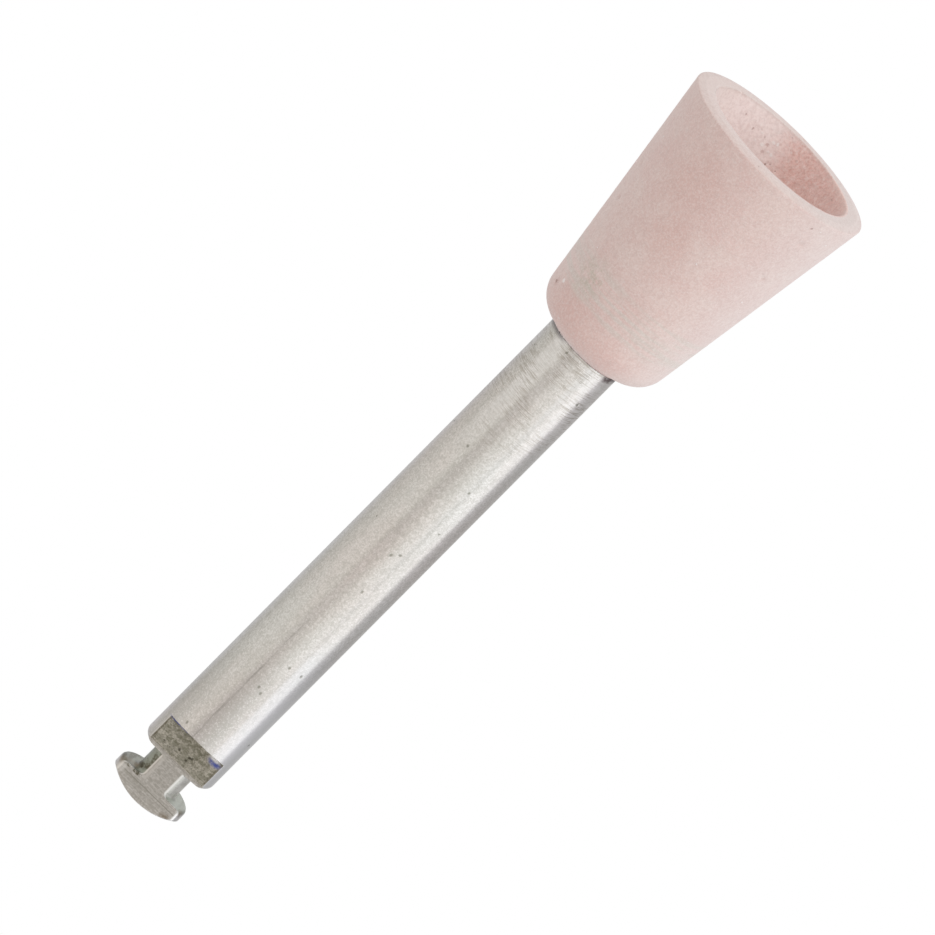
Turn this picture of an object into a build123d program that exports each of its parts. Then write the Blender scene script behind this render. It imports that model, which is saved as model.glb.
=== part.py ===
from build123d import *

import os
from math import atan, cos, pi, radians, sqrt, tan

# Dental polishing cup: an abrasive rubber cup moulded on the stem of a turned steel latch mandrel.
# Millimetres. The origin is the centre of the cup's mouth, which is what the part stands on.
# +Z runs along the spin axis from the mouth to the latch end, and the drive flat faces -Y.

# Cup, outside
cup_length = 7.59  # mouth plane to where the base meets the shank
mouth_diameter = 5.985  # over the rim's outer edge
base_diameter = 3.82  # where the wall's line reaches the base level
base_slope_deg = 20.0  # the base falls away from the shank
base_ledge = 0.29  # straight stretch of the base between the shank and the rounded corner

# Cup, rim and hollow
rim_width = 0.63  # inner lip to outer edge
rim_bevel_width = 0.26  # outer part of the rim, worn back
rim_bevel_drop = 0.07
lip_radius = 0.05
hollow_taper_deg = 14.0
hollow_floor_radius = 0.9
floor_thickness = 0.9  # rubber between the hollow and the end of the stem

# Mandrel, round shank
shank_diameter = 2.35
shank_length = 15.13  # from the cup's base to the shoulder of the drive flat

# Mandrel, stem inside the cup, below the shank's end
stem_core_diameter = 1.1
stem_ring_diameter = 1.6
stem_ring_length = 0.4
stem_ring_gap = 0.45
stem_ring_count = 3
bond_film = 0.015  # primer between steel and rubber

# Mandrel, latch end
flat_offset = 0.63  # spin axis to the drive flat
flat_length = 0.97  # shoulder to the end of the body
shoulder_relief_deg = 10.0
body_edge_radius = 0.2
groove_length = 0.86  # end of the body to the button
groove_wall_slope_deg = 4.0
neck_diameter = 1.335
neck_foot_radius = 0.12
button_diameter = 2.33
button_rim_length = 0.33
button_edge_radius = 0.12
button_dome_radius = 1.96

# Radii and levels that follow from the sizes above
mouth_radius = mouth_diameter / 2
shank_radius = shank_diameter / 2
neck_radius = neck_diameter / 2
button_radius = button_diameter / 2

seat_level = cup_length - bond_film
wall_lean = (mouth_diameter - base_diameter) / 2 / (seat_level - rim_bevel_drop)
stem_pitch = stem_ring_length + stem_ring_gap
stem_end_level = cup_length - stem_ring_count * stem_pitch
hollow_depth = stem_end_level - bond_film - floor_thickness

shoulder_level = cup_length + shank_length
body_end_level = shoulder_level + flat_length
button_level = body_end_level + groove_length
rim_end_level = button_level + button_rim_length
dome_rise = button_dome_radius - sqrt(button_dome_radius**2 - button_radius**2)
latch_end_level = rim_end_level + dome_rise


def round_corner(section, corner, radius):
    """Round one corner of a flat section."""
    vertex = section.vertices().sort_by_distance(corner)[0]
    return fillet(vertex, radius)


def turn(section):
    """Revolve a section drawn with radius along X and height along Y round the spin axis."""
    return revolve(Plane.XZ * section, Axis.Z)


def base_corner():
    """Radius and level where the line of the wall meets the sloped base."""
    base_fall = tan(radians(base_slope_deg))
    run = (base_diameter / 2 - shank_radius) / (1 - wall_lean * base_fall)
    return shank_radius + run, seat_level - base_fall * run


def base_corner_radius():
    """The largest rounding of the base's corner that leaves the ledge beside the shank."""
    slope = radians(base_slope_deg)
    half_corner = (pi / 2 + atan(wall_lean) + slope) / 2
    base_reach = (base_corner()[0] - shank_radius) / cos(slope)
    return (base_reach - base_ledge) * tan(half_corner)


def cup_blank():
    """The cup's outer form, without its hollow: rim, tapered wall, rounded corner and base."""
    corner = base_corner()
    land_radius = mouth_radius - rim_bevel_width
    outline = Polyline(
        (0, 0),
        (land_radius, 0),
        (mouth_radius, rim_bevel_drop),
        corner,
        (shank_radius, seat_level),
        (0, seat_level),
        close=True,
    )
    section = round_corner(make_face(outline), corner, base_corner_radius())
    return turn(section)


def cup_hollow():
    """The space inside the cup: a cone with a rounded floor and a softened lip."""
    lip = mouth_radius - rim_width
    floor = lip - hollow_depth * tan(radians(hollow_taper_deg))
    outline = Polyline(
        (0, 0),
        (lip, 0),
        (floor, hollow_depth),
        (0, hollow_depth),
        close=True,
    )
    section = round_corner(make_face(outline), (floor, hollow_depth), hollow_floor_radius)
    return turn(section)


def inner_lip(cup):
    """The edge where the hollow opens at the mouth."""
    lip = mouth_radius - rim_width
    return cup.edges().filter_by(GeomType.CIRCLE).sort_by_distance((lip, 0, 0))[0]


def stem(clearance=0.0):
    """The ringed stem that the rubber grips, from the shank to its end, grown by a clearance."""
    core = Cylinder(
        stem_core_diameter / 2 + clearance,
        cup_length - stem_end_level + clearance,
        align=(Align.CENTER, Align.CENTER, Align.MAX),
    )
    form = Pos(0, 0, cup_length) * core
    ring = Cylinder(stem_ring_diameter / 2 + clearance, stem_ring_length + 2 * clearance)
    for index in range(stem_ring_count):
        level = stem_end_level + stem_ring_length / 2 + index * stem_pitch
        form += Pos(0, 0, level) * ring
    return form


def polishing_cup():
    """The moulded cup, with the socket that it forms round the stem."""
    cup = cup_blank() - cup_hollow()
    cup = fillet(inner_lip(cup), lip_radius)
    return cup - stem(bond_film)


def turned_body():
    """Shank, groove and domed button as they leave the lathe."""
    groove_drop = (shank_radius - neck_radius) * tan(radians(groove_wall_slope_deg))
    with BuildSketch() as sketch:
        with BuildLine():
            side = Polyline(
                (0, cup_length),
                (shank_radius, cup_length),
                (shank_radius, body_end_level),
                (neck_radius, body_end_level + groove_drop),
                (neck_radius, button_level),
                (button_radius, button_level),
                (button_radius, rim_end_level),
            )
            RadiusArc(side @ 1, (0, latch_end_level), -button_dome_radius)
            Line((0, latch_end_level), (0, cup_length))
        make_face()
    section = round_corner(sketch.sketch, (shank_radius, body_end_level), body_edge_radius)
    section = round_corner(section, (neck_radius, button_level), neck_foot_radius)
    section = round_corner(section, (button_radius, button_level), button_edge_radius)
    return turn(section)


def flat_cutter():
    """The metal milled away for the drive flat, through body, neck and button."""
    reach = shank_diameter
    lean = (reach - flat_offset) * tan(radians(shoulder_relief_deg))
    past_end = latch_end_level + shank_radius
    side = Polyline(
        (-flat_offset, shoulder_level),
        (-reach, shoulder_level - lean),
        (-reach, past_end),
        (-flat_offset, past_end),
        close=True,
    )
    return extrude(Plane.YZ * make_face(side), shank_diameter, both=True)


def latch_mandrel():
    """The steel mandrel: ringed stem, shank, drive flat, latch groove and button."""
    return turned_body() + stem() - flat_cutter()


os.makedirs("parts", exist_ok=True)
export_step(latch_mandrel(), "parts/latch_mandrel.step")
export_step(polishing_cup(), "parts/polishing_cup.step")
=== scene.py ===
import cmath
from math import asin, atan, ceil, cos, pi, radians, sin, sqrt, tan

import bmesh
import bpy
import numpy as np
from mathutils import Matrix, Vector


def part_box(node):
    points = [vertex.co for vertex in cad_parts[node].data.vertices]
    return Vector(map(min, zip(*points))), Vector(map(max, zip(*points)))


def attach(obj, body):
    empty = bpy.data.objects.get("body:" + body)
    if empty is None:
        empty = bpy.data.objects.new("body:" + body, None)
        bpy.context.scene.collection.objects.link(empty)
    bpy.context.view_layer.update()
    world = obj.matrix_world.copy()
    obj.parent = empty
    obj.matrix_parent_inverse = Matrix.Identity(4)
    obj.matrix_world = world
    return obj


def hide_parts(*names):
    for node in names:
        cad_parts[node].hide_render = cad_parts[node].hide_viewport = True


# A dental polishing cup: a pink abrasive rubber cup on a steel latch mandrel. It stands mouth down.
# Sizes are millimetres until a mesh, a lamp or the camera is made, and mm turns them into metres.
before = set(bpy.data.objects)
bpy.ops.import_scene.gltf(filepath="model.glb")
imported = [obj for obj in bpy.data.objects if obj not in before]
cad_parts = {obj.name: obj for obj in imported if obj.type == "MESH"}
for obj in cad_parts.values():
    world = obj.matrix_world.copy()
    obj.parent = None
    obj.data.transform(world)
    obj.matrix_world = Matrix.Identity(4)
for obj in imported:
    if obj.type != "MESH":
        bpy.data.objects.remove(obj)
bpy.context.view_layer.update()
mm = 0.001


# The mandrel is one stainless bar, turned to shank, groove and domed button on a small lathe.
# One side of the latch end is then milled flat, and the cup is moulded round the ringed stem.
# Its main sizes are those of the solids. Here the flat has two levels, and sharp edges are eased.
mandrel_low, mandrel_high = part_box("latch_mandrel")
_, cup_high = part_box("polishing_cup")
bond_film = 0.015
cup_length = cup_high.z / mm + bond_film
shank_radius = mandrel_high.x / mm
latch_end_level = mandrel_high.z / mm
stem_end_level = mandrel_low.z / mm
stem_core_radius = 0.55
stem_ring_radius = 0.8
stem_ring_length = 0.4
stem_ring_count = 3
stem_pitch = (cup_length - stem_end_level) / stem_ring_count

shoulder_level = 22.72
flat_length = 0.97
groove_length = 0.86
neck_radius = 0.6675
groove_wall_slope = radians(4)
shank_foot_rounding = 0.03
body_edge_rounding = 0.2
groove_start_rounding = 0.04
neck_foot_rounding = 0.12
button_radius = 1.165
button_rim_length = 0.33
button_edge_rounding = 0.12
button_dome_radius = 1.96
body_end_level = shoulder_level + flat_length
groove_start_level = body_end_level + (shank_radius - neck_radius) * tan(groove_wall_slope)
button_level = body_end_level + groove_length
rim_end_level = button_level + button_rim_length

drive_flat = 0.65  # spin axis to the flat on the body
latch_flat = 0.55  # and to the flat on the neck and the button, cut a little deeper
flat_step_level = 23.555
flat_step_run = 0.03
shoulder_run = 0.02
shoulder_relief = radians(10)
shoulder_lead = 0.25  # stretch of the shank over which the rows bend to follow the shoulder
no_cut = shank_radius + 0.2


def side_line(corners):
    """Rows down a side view. A corner is its radius, height, rounding and the spacing that leads to it."""
    places = [complex(radius, height) for radius, height, _, _ in corners]
    rows = places[:1]
    for number, (_, _, rounding, spacing) in enumerate(corners[1:], 1):
        corner = places[number]
        arc = [corner]
        if rounding:
            back = (places[number - 1] - corner) / abs(places[number - 1] - corner)
            ahead = (places[number + 1] - corner) / abs(places[number + 1] - corner)
            half_angle = abs(cmath.phase(ahead / back)) / 2
            centre = corner + (back + ahead) / abs(back + ahead) * rounding / sin(half_angle)
            start = corner + back * rounding / tan(half_angle) - centre
            end = corner + ahead * rounding / tan(half_angle) - centre
            sweep = cmath.phase(end / start)
            steps = max(4, ceil(abs(sweep) * rounding / spacing))
            arc = [centre + start * cmath.exp(1j * sweep * step / steps) for step in range(steps + 1)]
        run = arc[0] - rows[-1]
        steps = max(1, ceil(abs(run) / spacing))
        rows += [rows[-1] + run * step / steps for step in range(1, steps)] + arc
    return rows


def side_mesh(name, rows, **marks):
    """The rows of a side view as loose points, with one value a row for each mark."""
    mesh = bpy.data.meshes.new(name)
    mesh.from_pydata([(row.real * mm, 0, row.imag * mm) for row in rows], [], [])
    for mark, values in marks.items():
        layer = mesh.attributes.new(mark, "FLOAT", "POINT")
        layer.data.foreach_set("value", np.array(values, dtype=np.float32))
    piece = bpy.data.objects.new(name, mesh)
    bpy.context.scene.collection.objects.link(piece)
    return piece


def add_node(tree, kind, inputs=None, **options):
    """Adds a node, sets its options, and feeds its inputs with values or with other nodes' outputs."""
    node = tree.nodes.new(kind)
    for option, value in options.items():
        setattr(node, option, value)
    for socket, value in (inputs or {}).items():
        if isinstance(value, bpy.types.NodeSocket):
            tree.links.new(value, node.inputs[socket])
        else:
            node.inputs[socket].default_value = value
    return node


def reckon(tree, operation, *terms):
    """One sum on one, two or three terms."""
    kind = "ShaderNodeMath"
    return add_node(tree, kind, dict(enumerate(terms)), operation=operation).outputs[0]


def both(tree, *values):
    """The product of two or more values. Of shares, it is 1 only where all of them are 1."""
    product = values[0]
    for value in values[1:]:
        product = reckon(tree, "MULTIPLY", product, value)
    return product


def either(tree, *shares):
    """The largest of two or more shares."""
    largest = shares[0]
    for share in shares[1:]:
        largest = reckon(tree, "MAXIMUM", largest, share)
    return largest


def ease(tree, value, start, end, low=0.0, high=1.0):
    """A smooth change from low to high as the value goes from start to end."""
    inputs = {0: value, 1: start, 2: end, 3: low, 4: high}
    return add_node(tree, "ShaderNodeMapRange", inputs, interpolation_type="SMOOTHSTEP").outputs[0]


def join(tree, x, y, z=0.0):
    """A vector from its parts."""
    return add_node(tree, "ShaderNodeCombineXYZ", {0: x, 1: y, 2: z}).outputs[0]


def split(tree, vector):
    """The parts of a vector, by their names."""
    return add_node(tree, "ShaderNodeSeparateXYZ", {0: vector}).outputs


def shifted(tree, vector, offset):
    """A vector with another, or with one number along each axis, added to it."""
    return add_node(tree, "ShaderNodeVectorMath", {0: vector, 1: offset}, operation="ADD").outputs[0]


def scaled(tree, vector, factor):
    """A vector times one number."""
    inputs = {0: vector, "Scale": factor}
    return add_node(tree, "ShaderNodeVectorMath", inputs, operation="SCALE").outputs[0]


def cloud(tree, place, scale, detail=2.0, roughness=0.5):
    """Soft noise from 0 to 1."""
    inputs = {"Vector": place, "Scale": scale, "Detail": detail, "Roughness": roughness}
    return add_node(tree, "ShaderNodeTexNoise", inputs).outputs[0]


def skin_relief(tree, given, worn):
    """How far each point sinks: a fine grain and sparse pits, where the skin is worn."""
    seed_step = 0.137
    place = add_node(tree, "GeometryNodeInputPosition").outputs[0]
    place = shifted(tree, place, reckon(tree, "MULTIPLY", given["Seed"], seed_step))
    grain = cloud(tree, place, reckon(tree, "DIVIDE", 1, given["Grain Size"]), 2.0, 0.6)
    grain = both(tree, reckon(tree, "SUBTRACT", 1, grain), given["Grain Depth"])
    inputs = {"Vector": place, "Scale": reckon(tree, "DIVIDE", 1, given["Pit Spacing"])}
    from_middle = add_node(tree, "ShaderNodeTexVoronoi", inputs).outputs["Distance"]
    pit = both(tree, ease(tree, from_middle, 0.04, 0.12, 1.0, 0.0), given["Pit Depth"])
    inward = both(tree, reckon(tree, "ADD", grain, pit), worn, -1)
    return scaled(tree, add_node(tree, "GeometryNodeInputNormal").outputs[0], inward)


def spin_tree():
    """Spins the rows of a side view, mills the flat where rows ask for it, and roughens the skin."""
    tree = bpy.data.node_groups.new("spin and roughen", "GeometryNodeTree")
    tree.interface.new_socket("Geometry", in_out="OUTPUT", socket_type="NodeSocketGeometry")
    for name, kind in [
        ("Geometry", "NodeSocketGeometry"),
        ("Columns", "NodeSocketInt"),
        ("Shoulder Relief", "NodeSocketFloat"),
        ("Shoulder Foot", "NodeSocketFloat"),
        ("Grain Size", "NodeSocketFloat"),
        ("Grain Depth", "NodeSocketFloat"),
        ("Pit Spacing", "NodeSocketFloat"),
        ("Pit Depth", "NodeSocketFloat"),
        ("Seed", "NodeSocketInt"),
        ("Material", "NodeSocketMaterial"),
    ]:
        tree.interface.new_socket(name, in_out="INPUT", socket_type=kind)
    given = add_node(tree, "NodeGroupInput").outputs

    size = add_node(tree, "GeometryNodeAttributeDomainSize", {"Geometry": given["Geometry"]})
    row_count = size.outputs["Point Count"]
    column_count = reckon(tree, "ADD", given["Columns"], 1)
    grid = add_node(tree, "GeometryNodeMeshGrid", {"Vertices X": column_count, "Vertices Y": row_count})
    index = add_node(tree, "GeometryNodeInputIndex").outputs[0]
    row = reckon(tree, "FLOORED_MODULO", index, row_count)
    column = reckon(tree, "FLOOR", reckon(tree, "DIVIDE", index, row_count))
    share = reckon(tree, "DIVIDE", column, given["Columns"])
    angle = reckon(tree, "MULTIPLY", share, 2 * pi)

    def of_row(value, kind="FLOAT"):
        inputs = {"Geometry": given["Geometry"], "Value": value, "Index": row}
        return add_node(tree, "GeometryNodeSampleIndex", inputs, data_type=kind, domain="POINT").outputs[0]

    def mark(name):
        inputs = {"Name": name}
        named = add_node(tree, "GeometryNodeInputNamedAttribute", inputs, data_type="FLOAT")
        return of_row(named.outputs[0])

    row_place = of_row(add_node(tree, "GeometryNodeInputPosition").outputs[0], "FLOAT_VECTOR")
    radius, _, height = split(tree, row_place)
    across = reckon(tree, "MULTIPLY", radius, reckon(tree, "SINE", angle))
    front = reckon(tree, "MULTIPLY", radius, reckon(tree, "COSINE", angle))
    softness = mark("softness")
    back = reckon(tree, "MULTIPLY", front, -1)
    milled_back = reckon(tree, "SMOOTH_MAX", back, reckon(tree, "MULTIPLY", mark("cut"), -1), softness)
    milled = reckon(tree, "DIVIDE", reckon(tree, "SUBTRACT", milled_back, back), softness)
    milled_front = reckon(tree, "MULTIPLY", milled_back, -1)
    proud = reckon(tree, "MAXIMUM", reckon(tree, "SUBTRACT", milled_front, given["Shoulder Foot"]), 0)
    bent = both(tree, proud, given["Shoulder Relief"], mark("lean"))
    spun = join(tree, across, milled_back, reckon(tree, "SUBTRACT", height, bent))
    chatter = both(tree, mark("chatter"), ease(tree, milled, 0.0, 1.0))
    worn = reckon(tree, "ADD", mark("skin"), chatter)

    outward = add_node(tree, "GeometryNodeFlipFaces", {"Mesh": grid.outputs["Mesh"]}).outputs[0]
    capture = add_node(tree, "GeometryNodeCaptureAttribute", {"Geometry": outward}, domain="POINT")
    for name, value in [("across", share), ("along", height), ("milled", milled), ("worn", worn)]:
        capture.capture_items.new("FLOAT", name)
        tree.links.new(value, capture.inputs[name])
    kept = capture.outputs
    shaped = add_node(tree, "GeometryNodeSetPosition", {"Geometry": kept["Geometry"], "Position": spun})
    lay = join(tree, kept["along"], kept["across"])
    inputs = {"Geometry": shaped.outputs[0], "Name": "turning", "Value": lay}
    laid = add_node(tree, "GeometryNodeStoreNamedAttribute", inputs, data_type="FLOAT2", domain="CORNER")
    inputs = {"Geometry": laid.outputs[0], "Name": "milled", "Value": kept["milled"]}
    marked = add_node(tree, "GeometryNodeStoreNamedAttribute", inputs, data_type="FLOAT", domain="POINT")
    inputs = {"Geometry": marked.outputs[0], "Distance": 0.0001 * mm}
    closed = add_node(tree, "GeometryNodeMergeByDistance", inputs)

    inputs = {"Geometry": closed.outputs[0], "Offset": skin_relief(tree, given, kept["worn"])}
    rough = add_node(tree, "GeometryNodeSetPosition", inputs)
    smooth = add_node(tree, "GeometryNodeSetShadeSmooth", {"Geometry": rough.outputs[0]})
    plain = add_node(tree, "GeometryNodeRealizeInstances", {"Geometry": smooth.outputs[0]})
    inputs = {"Geometry": plain.outputs[0], "Material": given["Material"]}
    finished = add_node(tree, "GeometryNodeSetMaterial", inputs)
    add_node(tree, "NodeGroupOutput", {0: finished.outputs[0]})
    return tree


spin_and_roughen = spin_tree()


def spin(piece, **sizes):
    """Runs the spinning tree on a side view and leaves the piece as a plain, closed mesh."""
    modifier = piece.modifiers.new("spin", "NODES")
    modifier.node_group = spin_and_roughen
    for socket in spin_and_roughen.interface.items_tree:
        size = socket.name.replace(" ", "_").lower()
        if socket.in_out == "INPUT" and size in sizes:
            modifier[socket.identifier] = sizes[size]
    bpy.context.view_layer.update()
    evaluated = piece.evaluated_get(bpy.context.evaluated_depsgraph_get())
    mesh = bpy.data.meshes.new_from_object(evaluated)
    piece.modifiers.remove(modifier)
    piece.data = mesh
    form = bmesh.new()
    form.from_mesh(mesh)
    bmesh.ops.recalc_face_normals(form, faces=form.faces)
    form.to_mesh(mesh)
    form.free()
    mesh.name = piece.name


def stem_corners(film, spacing):
    """The ringed stem from its end to the shank, grown by a film."""
    corners = [(0, stem_end_level - film, 0, 1)]
    for ring in range(stem_ring_count):
        level = stem_end_level + ring * stem_pitch
        corners += [
            (stem_ring_radius + film, level - film, 0, spacing),
            (stem_ring_radius + film, level + stem_ring_length + film, 0, spacing),
            (stem_core_radius + film, level + stem_ring_length + film, 0, spacing),
            (stem_core_radius + film, level + stem_pitch - film, 0, spacing),
        ]
    return corners


mandrel_rows = side_line([
    *stem_corners(0, 0.3),
    (shank_radius, cup_length, shank_foot_rounding, 0.2),
    (shank_radius, shoulder_level - shoulder_lead, 0, 0.3),
    (shank_radius, shoulder_level - shoulder_run, 0, 0.02),
    (shank_radius, shoulder_level, 0, shoulder_run / 8),
    (shank_radius, body_end_level, body_edge_rounding, 0.02),
    (neck_radius, groove_start_level, groove_start_rounding, 0.022),
    (neck_radius, button_level, neck_foot_rounding, 0.022),
    (button_radius, button_level, button_edge_rounding, 0.05),
    (button_radius, rim_end_level, 0, 0.03),
])
dome_centre = latch_end_level - button_dome_radius
dome_angle = asin(button_radius / button_dome_radius)
dome_steps = 30
for step in range(1, dome_steps + 1):
    slope = dome_angle * (1 - step / dome_steps)
    radius = button_dome_radius * sin(slope)
    height = button_dome_radius * cos(slope)
    mandrel_rows.append(complex(radius, dome_centre + height))


def along_mandrel(*marks):
    """A value for every row of the mandrel, straight between marks of a level and its value."""
    levels, values = zip(*marks)
    return np.interp([row.imag for row in mandrel_rows], levels, values)


cuts = along_mandrel(
    (shoulder_level - shoulder_run, no_cut),
    (shoulder_level, drive_flat),
    (flat_step_level, drive_flat),
    (flat_step_level + flat_step_run, latch_flat),
)
edge_softness = along_mandrel(
    (shoulder_level - 0.01, 0.02),
    (shoulder_level, 0.04),
    (body_end_level, 0.04),
    (groove_start_level + 0.05, 0.05),
    (button_level, 0.05),
    (button_level + 0.1, 0.22),
    (rim_end_level, 0.2),
    (rim_end_level + 0.1, 0.1),
)
leans = along_mandrel(
    (shoulder_level - shoulder_lead, 0),
    (shoulder_level - shoulder_run, 1),
    (shoulder_level, 1),
    (shoulder_level + 0.01, 0),
)
chatter = along_mandrel((flat_step_level, 1), (flat_step_level + flat_step_run, 0))

steel_grey = (0.87, 0.86, 0.825)
steel_warm = (0.89, 0.835, 0.795)
latch_flat_dark = (0.575, 0.55, 0.50)
latch_flat_light = (0.73, 0.70, 0.655)
drive_flat_dark = (0.36, 0.345, 0.27)
drive_flat_light = (0.65, 0.615, 0.53)

# A spot is its place, how its distance is stretched along each axis, and its reach.
# A dull spot has its strength and its colour too.
dull_spots = [
    ((-0.05, -1.17, shoulder_level - 0.22), (1.9, 1, 0.25), 1.1, 0.75, (0.60, 0.585, 0.57)),
    ((0.95, -0.75, shoulder_level - 0.42), (1.6, 1, 0.3), 0.9, 0.45, (0.60, 0.58, 0.55)),
]
# A painted highlight on the right of the bar, below the shoulder.
painted_highlight_spot = ((-1.1, -0.45, shoulder_level - 0.52), (1.5, 1, 0.25), 0.9)
tint_spots = [
    ((-0.74, -0.65, shoulder_level + 0.135), (0.8, 1, 1.5), 0.23),
    ((0.55, -0.65, shoulder_level + 0.015), (0.35, 1, 3.5), 0.22),
]
glint_spot = ((-0.69, -0.65, shoulder_level + 0.055), (0.8, 1, 2.2), 0.2)
rust_spots = [
    ((1.08, -0.35, button_level + 0.05), (1, 1, 1), 0.26),
    ((0.74, -0.2, button_level), (1, 1, 1), 0.24),
    ((-1.1, -0.4, button_level + 0.05), (1, 1, 1), 0.2),
    ((-0.8, -0.55, button_level + 0.42), (1, 1, 1), 0.21),
]
# A painted glint on the rounded corner of the button.
corner_glint_spot = ((0.93, -0.55, button_level + 0.18), (1.4, 0.6, 0.7), 0.17)
torn_spot = ((-0.05, 0, shoulder_level + 0.52), (1.3, 0, 2.0), 0.62)
# A dent is how far across it is and how high, on the side of the flat.
dent_stretch = (1, 1, 0.7)
dent_reach = 0.055
shank_dents = [
    (0.44, 11.53),
    (-0.15, 15.15),
    (-0.30, 16.45),
    (-0.36, 19.37),
    (-0.76, 19.38),
    (-0.13, 20.32),
    (-0.28, 20.43),
    (0.56, 22.46),
]


def mix_colour(tree, share, first, second):
    """The first colour where the share is 0, the second where it is 1."""
    node = add_node(tree, "ShaderNodeMix", data_type="RGBA")
    # The node has its colours at inputs 6 and 7 and at output 2. The others are for numbers and vectors.
    for socket, value in zip((node.inputs[0], node.inputs[6], node.inputs[7]), (share, first, second)):
        if isinstance(value, bpy.types.NodeSocket):
            tree.links.new(value, socket)
        else:
            socket.default_value = (*value, 1) if isinstance(value, tuple) else value
    return node.outputs[2]


def mix_value(tree, share, first, second):
    """The first value where the share is 0, the second where it is 1."""
    return add_node(tree, "ShaderNodeMix", {0: share, 2: first, 3: second}).outputs[0]


def stain(tree, share, strength, colour, over):
    """Lays a colour over another by a share between 0 and 1, at a strength."""
    return mix_colour(tree, reckon(tree, "MULTIPLY", share, strength), over, colour)


def stretched(tree, place, x, y, z):
    """The place with a scale of its own along each axis, so that a pattern is drawn out or packed."""
    return add_node(tree, "ShaderNodeVectorMath", {0: place, 1: (x, y, z)}, operation="MULTIPLY").outputs[0]


def specks(tree, place, scale, size, raggedness):
    """Spots scattered at random, 1 in the middle of each and 0 past its size, with torn edges."""
    swirl = add_node(tree, "ShaderNodeTexNoise", {"Vector": place, "Scale": 3 * scale, "Detail": 3.0})
    torn_place = shifted(tree, place, scaled(tree, swirl.outputs["Color"], raggedness / scale))
    cells = add_node(tree, "ShaderNodeTexVoronoi", {"Vector": torn_place, "Scale": scale})
    return ease(tree, cells.outputs["Distance"], 0.4 * size, size, 1.0, 0.0)


def near(tree, place, spot, stretch, reach):
    """1 at a spot, falling to 0 at its reach, with the distance along each axis stretched."""
    away = add_node(tree, "ShaderNodeVectorMath", {0: place, 1: spot}, operation="SUBTRACT").outputs[0]
    away = stretched(tree, away, *stretch)
    length = add_node(tree, "ShaderNodeVectorMath", {0: away}, operation="LENGTH").outputs["Value"]
    return ease(tree, length, 0.25 * reach, reach, 1.0, 0.0)


def band(tree, level, middle, half_width):
    """1 on a level and 0 past half its width on both sides."""
    away = reckon(tree, "ABSOLUTE", reckon(tree, "SUBTRACT", level, middle))
    return ease(tree, away, 0.5 * half_width, half_width, 1.0, 0.0)


def empty_material(name):
    """A material with only its shader and its output, and the place on the object in millimetres."""
    material = bpy.data.materials.new(name)
    material.use_nodes = True
    tree = material.node_tree
    place = scaled(tree, add_node(tree, "ShaderNodeTexCoord").outputs["Object"], 1 / mm)
    return material, tree, tree.nodes["Principled BSDF"], place


def bare_steel(tree, place):
    """The turned bar: warm and grey patches, dull spots, streaks along it, grain and glitter."""
    patches = cloud(tree, stretched(tree, place, 0.7, 0.7, 0.22), 1.0, 3.0)
    colour = mix_colour(tree, ease(tree, patches, 0.38, 0.62), steel_grey, steel_warm)
    for spot, stretch, reach, strength, dull in dull_spots:
        colour = stain(tree, near(tree, place, spot, stretch, reach), strength, dull, colour)
    streaks = cloud(tree, stretched(tree, place, 5.0, 5.0, 0.15), 1.0, 3.0)
    colour = stain(tree, ease(tree, streaks, 0.42, 0.7), 0.3, (0.58, 0.57, 0.52), colour)
    grain = cloud(tree, place, 10.0, 4.0, 0.7)
    colour = stain(tree, ease(tree, grain, 0.42, 0.64), 0.42, (0.54, 0.53, 0.48), colour)
    glitter = cloud(tree, place, 21.0, 2.0, 0.7)
    colour = stain(tree, ease(tree, glitter, 0.42, 0.6), 0.4, (0.56, 0.55, 0.51), colour)
    colour = stain(tree, ease(tree, glitter, 0.44, 0.34), 0.5, (1.0, 0.985, 0.96), colour)
    return colour, grain


def rings_by_cup(tree, place, across, level, colour):
    """Stained turning rings where the moulding ends, with painted highlight bands down the bar between them.
    """
    near_cup = ease(tree, level, cup_length + 1.5, cup_length + 4.5, 1.0, 0.12)
    # Painted highlight bands down the bar near the cup, parted by a painted shaded line.
    shaded_line = reckon(tree, "MULTIPLY", band(tree, across, -0.57, 0.12), 0.6)
    right_side = reckon(tree, "SUBTRACT", ease(tree, across, -0.3, -0.5), shaded_line)
    middle = reckon(tree, "MULTIPLY", band(tree, across, 0.2, 0.5), 0.35)
    highlight_bands = either(tree, right_side, band(tree, across, 0.57, 0.3), middle)
    colour = stain(tree, both(tree, near_cup, highlight_bands), 0.5, (0.99, 0.975, 0.955), colour)
    rings = cloud(tree, stretched(tree, place, 2.2, 2.2, 30.0), 1.0, 3.0, 0.65)
    patchy = ease(tree, cloud(tree, place, 1.3, 2.0), 0.4, 0.6, 0.3, 1.0)
    stained = both(tree, ease(tree, rings, 0.48, 0.58), near_cup, patchy)
    colour = stain(tree, stained, 0.6, (0.44, 0.40, 0.34), colour)
    return colour, both(tree, rings, near_cup, 0.6)


def shank_pits(tree, place):
    """Small rust pits all over the bar, and the dents on its front."""
    pits = either(tree, specks(tree, place, 1.6, 0.09, 0.25), specks(tree, place, 0.7, 0.045, 0.2))
    for across, height in shank_dents:
        spot = (across, -sqrt(shank_radius**2 - across**2), height)
        pits = either(tree, pits, near(tree, place, spot, dent_stretch, dent_reach))
    return pits


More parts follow.
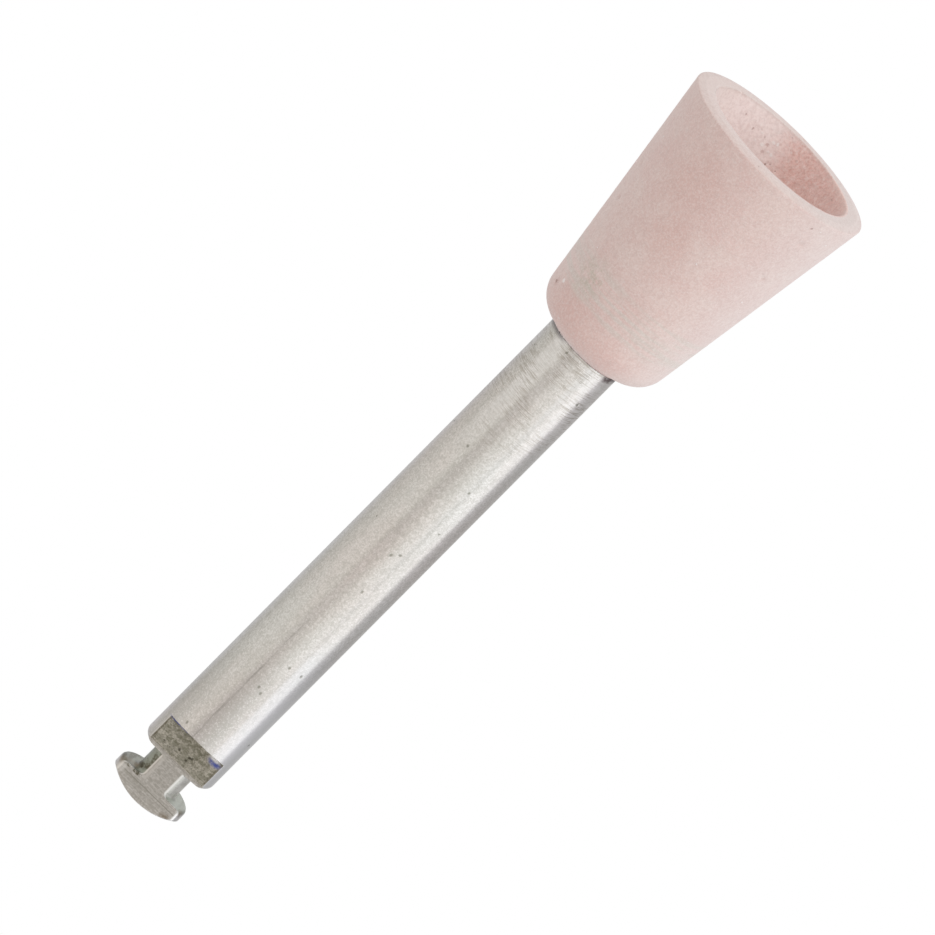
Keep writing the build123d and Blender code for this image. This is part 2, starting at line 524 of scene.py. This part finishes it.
def contact_shade_and_smudge(tree, place, across, level, colour):
    """Painted shade on both sides of the bar where the cup begins, and a ragged dark smudge above it on the
    right.
    """
    # Painted shade in a thin line next to the cup.
    sides = either(tree, ease(tree, across, 0.45, 0.75), ease(tree, across, -0.9, -0.98))
    line = both(tree, sides, ease(tree, level, cup_length + 0.03, cup_length + 0.16, 1.0, 0.0))
    colour = stain(tree, line, 0.7, (0.20, 0.18, 0.19), colour)
    over_line = ease(tree, level, cup_length + 0.12, cup_length + 0.24, 1.0, 0.0)
    ragged = ease(tree, cloud(tree, place, 8.0, 3.0, 0.7), 0.38, 0.56, 0.25, 1.0)
    smudge = both(tree, ease(tree, across, -0.8, -0.92), over_line, ragged)
    return stain(tree, smudge, 0.85, (0.17, 0.12, 0.12), colour)


def shank_finish(tree, place, parts):
    """Colour and relief of the turned bar: stained rings, pits, dents and a score, painted highlights and a
    painted cool reflection, and painted shade and a smudge where the cup begins.
    """
    across, level = parts["X"], parts["Z"]
    colour, grain = bare_steel(tree, place)
    colour, relief = rings_by_cup(tree, place, across, level, colour)
    # A painted highlight below the shoulder.
    colour = stain(tree, near(tree, place, *painted_highlight_spot), 0.9, (1.0, 1.0, 0.985), colour)

    front_end = ease(tree, level, shoulder_level - 5.22, shoulder_level - 3.22)
    front_end = both(tree, front_end, ease(tree, parts["Y"], 0.1, -0.3))
    # A painted cool reflection down the right side of the bar's front end.
    painted_cool_reflection = both(tree, front_end, ease(tree, across, -0.48, -0.62))
    colour = stain(tree, painted_cool_reflection, 0.3, (0.79, 0.825, 0.865), colour)
    broken = cloud(tree, stretched(tree, place, 9.0, 9.0, 1.2), 1.0, 3.0)
    broken = ease(tree, broken, 0.4, 0.6, 0.25, 1.0)
    score = both(tree, band(tree, across, 0.19, 0.035), front_end, broken)
    colour = stain(tree, score, 0.55, (0.36, 0.35, 0.32), colour)

    pits = shank_pits(tree, place)
    colour = stain(tree, pits, 0.65, (0.22, 0.22, 0.17), colour)
    colour = contact_shade_and_smudge(tree, place, across, level, colour)
    relief = reckon(tree, "MULTIPLY_ADD", grain, 0.4, relief)
    return colour, reckon(tree, "SUBTRACT", relief, pits)


def flat_finish(tree, place, level):
    """Colour and relief of the milled flats: dark and torn on the body, finer past the step."""
    lines = cloud(tree, stretched(tree, place, 1.5, 1.5, 26.0), 1.0, 4.0, 0.65)
    fine = cloud(tree, stretched(tree, place, 11.0, 11.0, 15.0), 1.0, 3.0, 0.7)
    latch = mix_colour(tree, ease(tree, lines, 0.36, 0.64), latch_flat_dark, latch_flat_light)
    latch = stain(tree, ease(tree, fine, 0.45, 0.6), 0.4, (0.42, 0.40, 0.35), latch)
    latch = stain(tree, ease(tree, fine, 0.47, 0.38), 0.3, (0.86, 0.84, 0.80), latch)
    latch = stain(tree, band(tree, level, button_level + 0.19, 0.02), 0.5, (0.28, 0.27, 0.21), latch)

    torn = cloud(tree, stretched(tree, place, 5.5, 5.5, 9.0), 1.0, 3.0, 0.7)
    drive = mix_colour(tree, ease(tree, torn, 0.4, 0.6), drive_flat_dark, drive_flat_light)
    end_half = ease(tree, level, shoulder_level + 0.4, shoulder_level + 0.75)
    drive = stain(tree, end_half, 0.3, (0.68, 0.645, 0.57), drive)
    scores = both(tree, ease(tree, lines, 0.54, 0.64), end_half)
    drive = stain(tree, scores, 0.6, (0.20, 0.185, 0.12), drive)
    crumble = cloud(tree, stretched(tree, place, 20.0, 20.0, 24.0), 1.0, 2.0, 0.7)
    drive = stain(tree, ease(tree, fine, 0.48, 0.58), 0.36, (0.22, 0.21, 0.15), drive)
    drive = stain(tree, ease(tree, crumble, 0.5, 0.6), 0.36, (0.18, 0.17, 0.12), drive)
    holes = both(tree, specks(tree, place, 6.5, 0.42, 0.35), near(tree, place, *torn_spot))
    end_holes = both(tree, specks(tree, place, 5.0, 0.22, 0.4), end_half)
    holes = either(tree, holes, end_holes)
    drive = stain(tree, holes, 0.85, (0.07, 0.065, 0.045), drive)

    past_step = ease(tree, level, flat_step_level, flat_step_level + flat_step_run)
    rough = reckon(tree, "SUBTRACT", reckon(tree, "MULTIPLY", torn, 3.0), holes)
    rough = both(tree, rough, reckon(tree, "SUBTRACT", 1, past_step))
    return mix_colour(tree, past_step, drive, latch), reckon(tree, "ADD", rough, lines)


def groove_dirt_and_painted_light(tree, place, across, level):
    """Dirt in the latch groove and on the button's shelf, dark with painted shade at one side, and painted
    light at the other.
    """
    smears = cloud(tree, stretched(tree, place, 4.5, 1.2, 4.5), 1.0, 3.0, 0.7)
    on_button = ease(tree, level, button_level - 0.1, button_level - 0.02)
    # The dark side is dirt and painted shade in the recess.
    dark = mix_colour(tree, ease(tree, smears, 0.42, 0.6), (0.10, 0.09, 0.045), (0.38, 0.40, 0.33))
    dark = stain(tree, on_button, 0.4, (0.10, 0.095, 0.055), dark)
    light = mix_colour(tree, ease(tree, across, -0.45, -0.58), (0.56, 0.56, 0.52), (0.98, 0.97, 0.90))
    light = mix_colour(tree, on_button, light, (0.46, 0.49, 0.42))
    # Painted light on the right side of the groove.
    lit_side_of_groove = both(tree, ease(tree, across, -0.2, -0.4), ease(tree, smears, 0.35, 0.6, 0.7, 0.9))
    return mix_colour(tree, lit_side_of_groove, dark, light)


def edges_of_flat(tree, parts, milled, groove, ragged, colour):
    """Painted highlights on the rounded edges round the flat, the dirt along them, painted shadow under the
    shoulder, and the burr of the cutter.
    """
    across, level = parts["X"], parts["Z"]
    # Painted highlight lines along the rounded edges of the flat.
    rub_and_highlight = both(tree, ease(tree, milled, 0.0, 0.06), ease(tree, milled, 0.2, 0.5, 1.0, 0.0))
    edge_highlight_colour = mix_colour(tree, groove, (0.96, 0.95, 0.93), (0.80, 0.79, 0.76))
    edge_highlight_colour = mix_colour(tree, ease(tree, across, 0.1, -0.1), (0.84, 0.80, 0.75), edge_highlight_colour)
    colour = stain(tree, rub_and_highlight, 0.9, edge_highlight_colour, colour)
    dark_rim = both(
        tree,
        ease(tree, milled, 0.7, 1.1),
        ease(tree, milled, 1.6, 2.4, 1.0, 0.0),
        ease(tree, level, flat_step_level - 0.05, flat_step_level, 1.0, 0.0),
    )
    colour = stain(tree, dark_rim, 0.5, (0.16, 0.13, 0.09), colour)
    # A painted highlight on the rolled left edge of the latch flat.
    rolled = both(
        tree,
        band(tree, level, body_end_level + 0.45, 0.55),
        ease(tree, across, 0.24, 0.28),
        ease(tree, milled, 0.25, 0.6),
    )
    colour = stain(tree, rolled, 0.7, (0.80, 0.765, 0.71), colour)
    burr = both(
        tree,
        band(tree, level, button_level + 0.03, 0.06),
        ease(tree, across, 0.3, 0.4),
        ragged,
        ease(tree, milled, 0.0, 0.4),
    )
    colour = stain(tree, burr, 0.9, (0.14, 0.13, 0.08), colour)
    # Painted shadow under the shoulder, along the top of the flat.
    shadow_under_shoulder = both(tree, band(tree, level, shoulder_level + 0.02, 0.04), ease(tree, milled, 0.5, 1.0))
    return stain(tree, shadow_under_shoulder, 0.4, (0.17, 0.17, 0.15), colour)


def spots_at_latch_end(tree, place, ragged, colour):
    """Blue tint and a painted glint under the shoulder, rust, and a painted glint on the rounded corner of
    the button.
    """
    for spot in tint_spots:
        tint = both(tree, near(tree, place, *spot), ease(tree, ragged, 0.0, 1.0, 0.6, 1.0))
        colour = stain(tree, tint, 0.88, (0.12, 0.17, 0.62), colour)
    colour = stain(tree, near(tree, place, *glint_spot), 1.0, (1.0, 1.0, 1.0), colour)
    for spot in rust_spots:
        rust = both(tree, near(tree, place, *spot), ease(tree, ragged, 0.0, 1.0, 0.4, 1.0))
        colour = stain(tree, rust, 0.75, (0.27, 0.21, 0.14), colour)
    # The painted glint on the button's corner.
    return stain(tree, near(tree, place, *corner_glint_spot), 0.6, (0.96, 0.94, 0.89), colour)


def turned_steel():
    """Satin stainless steel with turning rings, stains, pits, and the marks of the milling cutter."""
    material, tree, shader, place = empty_material("turned steel")
    parts = split(tree, place)
    across, level = parts["X"], parts["Z"]
    milled = add_node(tree, "ShaderNodeAttribute", attribute_name="milled").outputs["Fac"]
    flat = ease(tree, milled, 0.25, 0.6)
    groove = ease(tree, level, body_end_level - 0.03, body_end_level + 0.05)
    groove = both(tree, groove, ease(tree, level, button_level + 0.04, button_level + 0.12, 1.0, 0.0))
    ragged = ease(tree, cloud(tree, place, 7.0, 3.0, 0.7), 0.4, 0.6)

    colour, relief = shank_finish(tree, place, parts)
    # Dirt with painted light and shade in the groove.
    colour = stain(tree, groove, 0.9, groove_dirt_and_painted_light(tree, place, across, level), colour)
    flat_colour, flat_relief = flat_finish(tree, place, level)
    colour = mix_colour(tree, flat, colour, flat_colour)
    colour = edges_of_flat(tree, parts, milled, groove, ragged, colour)
    colour = spots_at_latch_end(tree, place, ragged, colour)
    tree.links.new(colour, shader.inputs["Base Color"])

    relief = mix_value(tree, flat, relief, flat_relief)
    bump = add_node(tree, "ShaderNodeBump", {"Height": relief, "Distance": 0.012 * mm, "Strength": 0.5})
    tree.links.new(bump.outputs[0], shader.inputs["Normal"])
    tangent = add_node(tree, "ShaderNodeTangent", direction_type="UV_MAP", uv_map="turning")
    tree.links.new(tangent.outputs[0], shader.inputs["Tangent"])
    tree.links.new(ease(tree, flat, 0.0, 1.0, 0.3, 0.5), shader.inputs["Roughness"])
    shader.inputs["Metallic"].default_value = 1.0
    shader.inputs["Anisotropic"].default_value = 0.95
    return material


mandrel = side_mesh(
    "mandrel_turned",
    mandrel_rows,
    cut=cuts * mm,
    softness=edge_softness * mm,
    lean=leans,
    skin=np.zeros(len(mandrel_rows)),
    chatter=chatter,
)
spin(
    mandrel,
    columns=320,
    shoulder_relief=tan(shoulder_relief),
    shoulder_foot=drive_flat * mm,
    grain_size=0.09 * mm,
    grain_depth=0.025 * mm,
    pit_spacing=0.3 * mm,
    pit_depth=0.02 * mm,
    seed=1,
    material=turned_steel(),
)
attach(mandrel, "root")
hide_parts("latch_mandrel")


# The cup is one moulding of silicone rubber filled with fine abrasive, hollow at the mouth.
# It grips the ringed stem, and its base is dressed to a slope round the shank.
mouth_radius = cup_high.x / mm
base_radius = 1.91
base_slope = radians(20)
base_ledge = 0.29
rim_width = 0.63
rim_bevel_width = 0.26
rim_bevel_drop = 0.07
rim_edge_rounding = 0.05
land_edge_rounding = 0.06
lip_rounding = 0.05
hollow_taper = radians(14)
hollow_floor_rounding = 0.9
floor_thickness = 0.9
seat_level = cup_length - bond_film
hollow_depth = stem_end_level - bond_film - floor_thickness

wall_lean = (mouth_radius - base_radius) / (seat_level - rim_bevel_drop)
base_run = (base_radius - shank_radius) / (1 - wall_lean * tan(base_slope))
base_corner = (shank_radius + base_run, seat_level - base_run * tan(base_slope))
half_corner = (pi / 2 + atan(wall_lean) + base_slope) / 2
base_rounding = (base_run / cos(base_slope) - base_ledge) * tan(half_corner)
lip_radius = mouth_radius - rim_width
hollow_floor_radius = lip_radius - hollow_depth * tan(hollow_taper)

# Where the base meets the shank, a thin ridge of flash stands up round the steel.
flash_height = 0.03
flash_crest = 0.003  # out from the steel to its top
flash_width = 0.01
flash_foot = 0.03  # and to where the slope of the base begins
no_cut_on_cup = 9  # outside the wall, so that nothing is milled
socket_corners = stem_corners(bond_film, 0.4)
cup_rows = side_line([
    *socket_corners,
    (shank_radius, seat_level, 0, 0.2),
    (shank_radius + flash_crest, seat_level + flash_height, 0, 0.1),
    (shank_radius + flash_width, seat_level, 0, 0.1),
    (shank_radius + flash_foot, seat_level - flash_foot * tan(base_slope), 0, 0.1),
    (*base_corner, base_rounding, 0.05),
    (mouth_radius, rim_bevel_drop, rim_edge_rounding, 0.05),
    (mouth_radius - rim_bevel_width, 0, land_edge_rounding, 0.05),
    (lip_radius, 0, lip_rounding, 0.05),
    (hollow_floor_radius, hollow_depth, hollow_floor_rounding, 0.06),
    (0, hollow_depth, 0, 0.06),
])
grainy = np.ones(len(cup_rows))
grainy[:len(side_line(socket_corners))] = 0

pink = (0.735, 0.55, 0.495)
deep_pink = (0.705, 0.485, 0.435)
blush_pink = (0.68, 0.425, 0.37)
# The pinks of the hollow's shaded and lit sides: painted shade and painted light.
shaded_pink = (0.80, 0.52, 0.46)
lit_pink = (0.895, 0.765, 0.725)

# A blush is a deeper pink patch: its place and its reach.
blushes = [
    ((1.1, -2.3, 1.7), 1.2),
    ((0.5, -2.3, 3.2), 0.9),
    ((0.9, -1.4, 6.9), 1.3),
    ((-0.2, -1.6, 7.25), 1.2),
]
grey_smudge = ((1.3, -1.75, 5.7), (1, 1, 0.8), 0.7)
crumbled_spot = ((0.2, 2.15, 0.65), (0.8, 1, 1.6), 0.9)


def hollow_colour(tree, place, parts, mottle):
    """The inside of the cup, with painted light and shade: deeper pink and flecked on the shaded side, pale
    on the lit side.
    """
    across, level = parts["X"], parts["Z"]
    # Painted light on the left of the hollow and painted shade on its right.
    lit_hollow_side = ease(tree, reckon(tree, "MULTIPLY_ADD", mottle, 1.2, across), -0.05, 1.05)
    colour = mix_colour(tree, lit_hollow_side, shaded_pink, lit_pink)
    # More painted light on the far left wall.
    colour = stain(tree, ease(tree, across, 1.5, 2.2), 0.6, (0.83, 0.70, 0.645), colour)
    flecks = cloud(tree, place, 7.0, 4.0, 0.75)
    fine_flecks = cloud(tree, place, 14.0, 3.0, 0.75)
    shaded_hollow_side = reckon(tree, "SUBTRACT", 1.1, lit_hollow_side)
    for share, fleck in [
        (ease(tree, flecks, 0.5, 0.62), (0.64, 0.34, 0.28)),
        (ease(tree, fine_flecks, 0.52, 0.62), (0.64, 0.30, 0.24)),
        (ease(tree, flecks, 0.46, 0.36), (0.94, 0.80, 0.76)),
    ]:
        colour = stain(tree, both(tree, share, shaded_hollow_side), 0.4, fleck, colour)
    # Painted light on the lip at the lit side.
    painted_lit_lip = both(tree, ease(tree, level, 0.08, 0.4, 1.0, 0.0), ease(tree, across, 1.4, 2.0))
    colour = stain(tree, painted_lit_lip, 0.6, (0.80, 0.66, 0.61), colour)
    warm_lip = both(tree, ease(tree, level, 0.05, 0.3, 1.0, 0.0), ease(tree, across, -1.3, -1.9))
    return stain(tree, warm_lip, 0.5, (0.90, 0.66, 0.58), colour)


def rim_finish(tree, across, level, radial, within, colour):
    """The paler land of the rim, painted light on the cup's right side, and the darker line of the lip."""
    outside = reckon(tree, "SUBTRACT", 1, within)
    at_mouth = ease(tree, level, 0.02, 0.1, 1.0, 0.0)
    colour = stain(tree, both(tree, at_mouth, outside), 0.5, (0.74, 0.62, 0.57), colour)
    # Painted light on the side towards the soft box.
    lit_side_of_cup = both(tree, ease(tree, across, -0.8, -2.0), outside)
    colour = stain(tree, lit_side_of_cup, 0.3, (0.71, 0.645, 0.615), colour)
    lip = both(tree, band(tree, radial, lip_radius, 0.07), at_mouth, ease(tree, across, -1.9, -0.9))
    return stain(tree, lip, 0.55, (0.60, 0.455, 0.40), colour)


def marks_by_base(tree, place, level, radial, colour):
    """Grey rub marks in a belt below the base, a smudge in it, and the shaded foot of the shank."""
    rub_and_highlight = cloud(tree, stretched(tree, place, 0.5, 0.5, 6.0), 1.0, 3.0, 0.6)
    belt = both(tree, ease(tree, level, 4.9, 5.4), ease(tree, level, 6.1, 6.6, 1.0, 0.0))
    rub_marks = both(tree, ease(tree, rub_and_highlight, 0.42, 0.62), belt)
    colour = stain(tree, rub_marks, 0.7, (0.62, 0.55, 0.485), colour)
    ragged = ease(tree, cloud(tree, place, 4.0, 4.0, 0.7), 0.4, 0.6)
    smudge = both(tree, near(tree, place, *grey_smudge), ragged)
    colour = stain(tree, smudge, 0.7, (0.48, 0.43, 0.33), colour)
    by_shank = ease(tree, level, cup_length - 0.34, cup_length - 0.02)
    by_shank = both(tree, by_shank, ease(tree, radial, 1.7, 1.25))
    return stain(tree, by_shank, 0.35, (0.50, 0.34, 0.31), colour)


def grit(tree, place, within, mottle, colour):
    """Coarse and fine grit, pores, loose pale grains, and the crumbs in the hollow, with their relief."""
    coarse_grit = cloud(tree, place, 9.0, 4.0, 0.75)
    colour = stain(tree, ease(tree, coarse_grit, 0.4, 0.64), 0.3, (0.52, 0.35, 0.31), colour)
    fine_grit = cloud(tree, place, 19.0, 3.0, 0.75)
    colour = stain(tree, ease(tree, fine_grit, 0.45, 0.62), 0.3, (0.86, 0.76, 0.72), colour)

    pores = either(tree, specks(tree, place, 1.1, 0.06, 0.2), specks(tree, place, 0.6, 0.04, 0.2))
    torn = both(tree, specks(tree, place, 3.6, 0.17, 0.35), ease(tree, mottle, 0.42, 0.6), within)
    pores = either(tree, pores, torn)
    colour = stain(tree, pores, 0.7, (0.34, 0.17, 0.14), colour)

    crumbled = near(tree, place, *crumbled_spot)
    dark_crumbs = both(tree, specks(tree, place, 4.3, 0.32, 0.4), crumbled)
    colour = stain(tree, dark_crumbs, 0.5, (0.45, 0.22, 0.18), colour)
    pale_grains = either(
        tree,
        specks(tree, place, 1.7, 0.065, 0.08),
        specks(tree, place, 0.5, 0.045, 0.05),
        both(tree, specks(tree, place, 5.0, 0.34, 0.4), crumbled),
    )
    colour = stain(tree, pale_grains, 0.75, (0.90, 0.84, 0.81), colour)

    relief = reckon(tree, "MULTIPLY_ADD", fine_grit, 0.6, reckon(tree, "MULTIPLY", coarse_grit, 1.2))
    relief = reckon(tree, "MULTIPLY_ADD", pale_grains, 0.7, relief)
    return colour, reckon(tree, "SUBTRACT", relief, pores)


def abrasive_rubber():
    """Matt pink rubber, full of fine grit, with pores, pale grains and grey rub marks by the base."""
    material, tree, shader, place = empty_material("abrasive rubber")
    parts = split(tree, place)
    across, level = parts["X"], parts["Z"]
    radial = reckon(tree, "MULTIPLY", parts["Y"], parts["Y"])
    radial = reckon(tree, "SQRT", reckon(tree, "MULTIPLY_ADD", across, across, radial))
    within = reckon(tree, "MULTIPLY_ADD", level, 0.15, radial)
    within = reckon(tree, "LESS_THAN", within, lip_radius + 0.06)

    mottle = cloud(tree, place, 0.8, 4.0, 0.6)
    colour = mix_colour(tree, ease(tree, mottle, 0.35, 0.65), pink, deep_pink)
    for spot, reach in blushes:
        colour = stain(tree, near(tree, place, spot, (1, 1, 0.8), reach), 0.6, blush_pink, colour)
    colour = mix_colour(tree, within, colour, hollow_colour(tree, place, parts, mottle))
    colour = rim_finish(tree, across, level, radial, within, colour)
    colour = marks_by_base(tree, place, level, radial, colour)
    colour, relief = grit(tree, place, within, mottle, colour)
    tree.links.new(colour, shader.inputs["Base Color"])

    bump = add_node(tree, "ShaderNodeBump", {"Height": relief, "Distance": 0.02 * mm, "Strength": 0.6})
    tree.links.new(bump.outputs[0], shader.inputs["Normal"])
    shader.inputs["Roughness"].default_value = 0.85
    shader.inputs["Specular IOR Level"].default_value = 0.3
    shader.inputs["Sheen Weight"].default_value = 0.4
    shader.inputs["Sheen Roughness"].default_value = 0.7
    return material


cup = side_mesh(
    "cup_moulding",
    cup_rows,
    cut=np.full(len(cup_rows), no_cut_on_cup * mm),
    softness=np.full(len(cup_rows), mm),
    lean=np.zeros(len(cup_rows)),
    skin=grainy,
    chatter=np.zeros(len(cup_rows)),
)
spin(
    cup,
    columns=320,
    shoulder_relief=0.0,
    shoulder_foot=0.0,
    grain_size=0.16 * mm,
    grain_depth=0.012 * mm,
    pit_spacing=1.1 * mm,
    pit_depth=0.04 * mm,
    seed=3,
    material=abrasive_rubber(),
)
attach(cup, "root")
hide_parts("polishing_cup")


# The camera looks up at the mouth from below, rolled so that the mandrel lies across the picture.
# Pixels are those of the photograph, turned until the spin axis stands upright.
view_tilt = radians(15.2)
view_turn = radians(2.3)
view_roll = radians(45.2)
view_distance = 600
sensor_width = 36
picture_width = 935
pixels_per_mm = 37.7
middle_pixel = 661.5
mouth_row_pixel = 215.5
spin_axis_pixel = 661.4

toward = Vector((sin(view_turn) * cos(view_tilt), -cos(view_turn) * cos(view_tilt), -sin(view_tilt)))
side_way = Vector((-cos(view_turn), -sin(view_turn), 0))
axis_way = toward.cross(side_way)
right = cos(view_roll) * axis_way + sin(view_roll) * side_way
up = sin(view_roll) * axis_way - cos(view_roll) * side_way
along_axis = (middle_pixel - mouth_row_pixel) / pixels_per_mm
beside_axis = (spin_axis_pixel - middle_pixel) / pixels_per_mm
camera_data = bpy.data.cameras.new("camera")
camera_data.sensor_width = sensor_width
camera_data.lens = sensor_width * pixels_per_mm * view_distance / picture_width
camera_data.clip_start = 10 * mm
camera = bpy.data.objects.new("camera", camera_data)
bpy.context.scene.collection.objects.link(camera)
stand = Matrix((right, up, toward)).transposed().to_4x4()
stand.translation = (toward * view_distance - axis_way * along_axis - side_way * beside_axis) * mm
camera.matrix_world = stand
bpy.context.scene.camera = camera


# The studio is white behind the object. Round it stand pale walls with a soft box on the right,
# a grey card past the box and the darker camera side, and those are what the steel mirrors.
wall_level = 0.78
# Each wall is its colour at an angle in degrees, from the side of the flat to the picture's right.
seen_in_steel = [
    (-180, (0.60, 0.60, 0.62)),
    (-150, (0.60, 0.595, 0.61)),
    (-124, (0.57, 0.555, 0.535)),
    (-100, (0.68, 0.665, 0.64)),
    (-60, (0.76, 0.735, 0.705)),
    (-31, (0.77, 0.735, 0.70)),
    (-27, (0.64, 0.60, 0.575)),
    (-10, (0.69, 0.645, 0.62)),
    (5, (0.80, 0.765, 0.735)),
    (20, (0.89, 0.87, 0.845)),
    (43, (1.06, 1.05, 1.045)),
    (49, (0.95, 0.95, 0.955)),
    (55, (0.95, 0.95, 0.955)),
    (60, (1.15, 1.15, 1.16)),
    (91.5, (1.20, 1.20, 1.23)),
    (94.5, (0.75, 0.74, 0.78)),
    (104, (0.54, 0.53, 0.555)),
    (118, (0.47, 0.465, 0.475)),
    (130, (0.42, 0.415, 0.42)),
    (160, (0.50, 0.49, 0.49)),
    (180, (0.58, 0.57, 0.575)),
]


def studio():
    """White to the camera, the ring of walls to the steel, and one plain level to all else."""
    world = bpy.data.worlds.new("studio")
    world.use_nodes = True
    tree = world.node_tree
    back = split(tree, scaled(tree, add_node(tree, "ShaderNodeTexCoord").outputs["Generated"], -1))
    turn = reckon(tree, "ARCTAN2", back["X"], back["Y"])
    turn = reckon(tree, "MULTIPLY_ADD", turn, 1 / (2 * pi), 0.5)
    walls = add_node(tree, "ShaderNodeValToRGB", {0: turn})
    stops = walls.color_ramp.elements
    for number, (azimuth, colour) in enumerate(seen_in_steel):
        stop = stops[0] if number == 0 else stops.new((azimuth + 180) / 360)
        stop.position = (azimuth + 180) / 360
        stop.color = (*colour, 1)
    # One of the two stops that the ramp came with is left over.
    stops.remove(stops[len(stops) - 1])
    ray = add_node(tree, "ShaderNodeLightPath").outputs
    colour = mix_colour(tree, ray["Is Glossy Ray"], (wall_level, wall_level, wall_level), walls.outputs[0])
    white = either(tree, ray["Is Camera Ray"], ray["Is Transmission Ray"])
    colour = mix_colour(tree, white, colour, (1.0, 1.0, 1.0))
    tree.links.new(colour, tree.nodes["Background"].inputs["Color"])
    # Its light is even, so no rays need aiming at it.
    world.cycles.sampling_method = "NONE"
    return world


def soft_box(name, azimuth, elevation, distance, width, height, level, colour):
    """A soft lamp round the middle of the object. Its level is its brightness, where white is 1."""
    data = bpy.data.lights.new(name, "AREA")
    data.shape = "RECTANGLE"
    data.size = width * mm
    data.size_y = height * mm
    data.energy = level * pi * data.size * data.size_y
    data.color = colour
    lamp = bpy.data.objects.new(name, data)
    lamp.visible_glossy = False
    lamp.visible_camera = False
    bpy.context.scene.collection.objects.link(lamp)
    flat_way = Vector((-sin(azimuth), -cos(azimuth), 0)) * cos(elevation)
    way = flat_way + Vector((0, 0, sin(elevation)))
    lamp.location = (way * distance + Vector((0, 0, latch_end_level / 2))) * mm
    lamp.rotation_euler = way.to_track_quat("Z", "Y").to_euler()


bpy.context.scene.world = studio()
soft_box(
    "side_box",
    azimuth=radians(75),
    elevation=radians(5),
    distance=300,
    width=350,
    height=400,
    level=0.4,
    colour=(0.85, 1.0, 1.12),
)
soft_box(
    "mouth_box",
    azimuth=radians(52),
    elevation=radians(-40),
    distance=300,
    width=350,
    height=350,
    level=0.85,
    colour=(0.95, 1.0, 1.04),
)
bpy.context.scene.view_settings.view_transform = "Standard"


# The floor is a pale sheet that fades into the white. It lies just under the rim of the cup.
# Seen from below it is clear, and light passes it.
floor_gap = 0.02
floor_radius = 90
floor_fade = 40


def pale_sheet():
    """Matt white that only the camera and mirrors see, from above, fading out towards its edge."""
    material, tree, shader, place = empty_material("pale floor")
    shader.inputs["Base Color"].default_value = (0.9, 0.9, 0.9, 1)
    shader.inputs["Roughness"].default_value = 0.9
    shader.inputs["Specular IOR Level"].default_value = 0.1
    clear = add_node(tree, "ShaderNodeBsdfTransparent").outputs[0]
    ray = add_node(tree, "ShaderNodeLightPath").outputs
    under = add_node(tree, "ShaderNodeNewGeometry").outputs["Backfacing"]
    distance = add_node(tree, "ShaderNodeVectorMath", {0: place}, operation="LENGTH").outputs["Value"]
    solid = both(
        tree,
        either(tree, ray["Is Camera Ray"], ray["Is Glossy Ray"]),
        reckon(tree, "SUBTRACT", 1, under),
        ease(tree, distance, floor_fade, floor_radius, 1.0, 0.0),
    )
    blend = add_node(tree, "ShaderNodeMixShader", {0: solid, 1: clear, 2: shader.outputs[0]})
    tree.links.new(blend.outputs[0], tree.nodes["Material Output"].inputs["Surface"])
    return material


floor_form = bmesh.new()
bmesh.ops.create_circle(floor_form, cap_ends=True, segments=96, radius=floor_radius * mm)
floor_mesh = bpy.data.meshes.new("floor")
floor_form.to_mesh(floor_mesh)
floor_form.free()
floor_mesh.transform(Matrix.Translation((0, 0, -floor_gap * mm)))
floor_mesh.materials.append(pale_sheet())
floor = bpy.data.objects.new("floor", floor_mesh)
bpy.context.scene.collection.objects.link(floor)
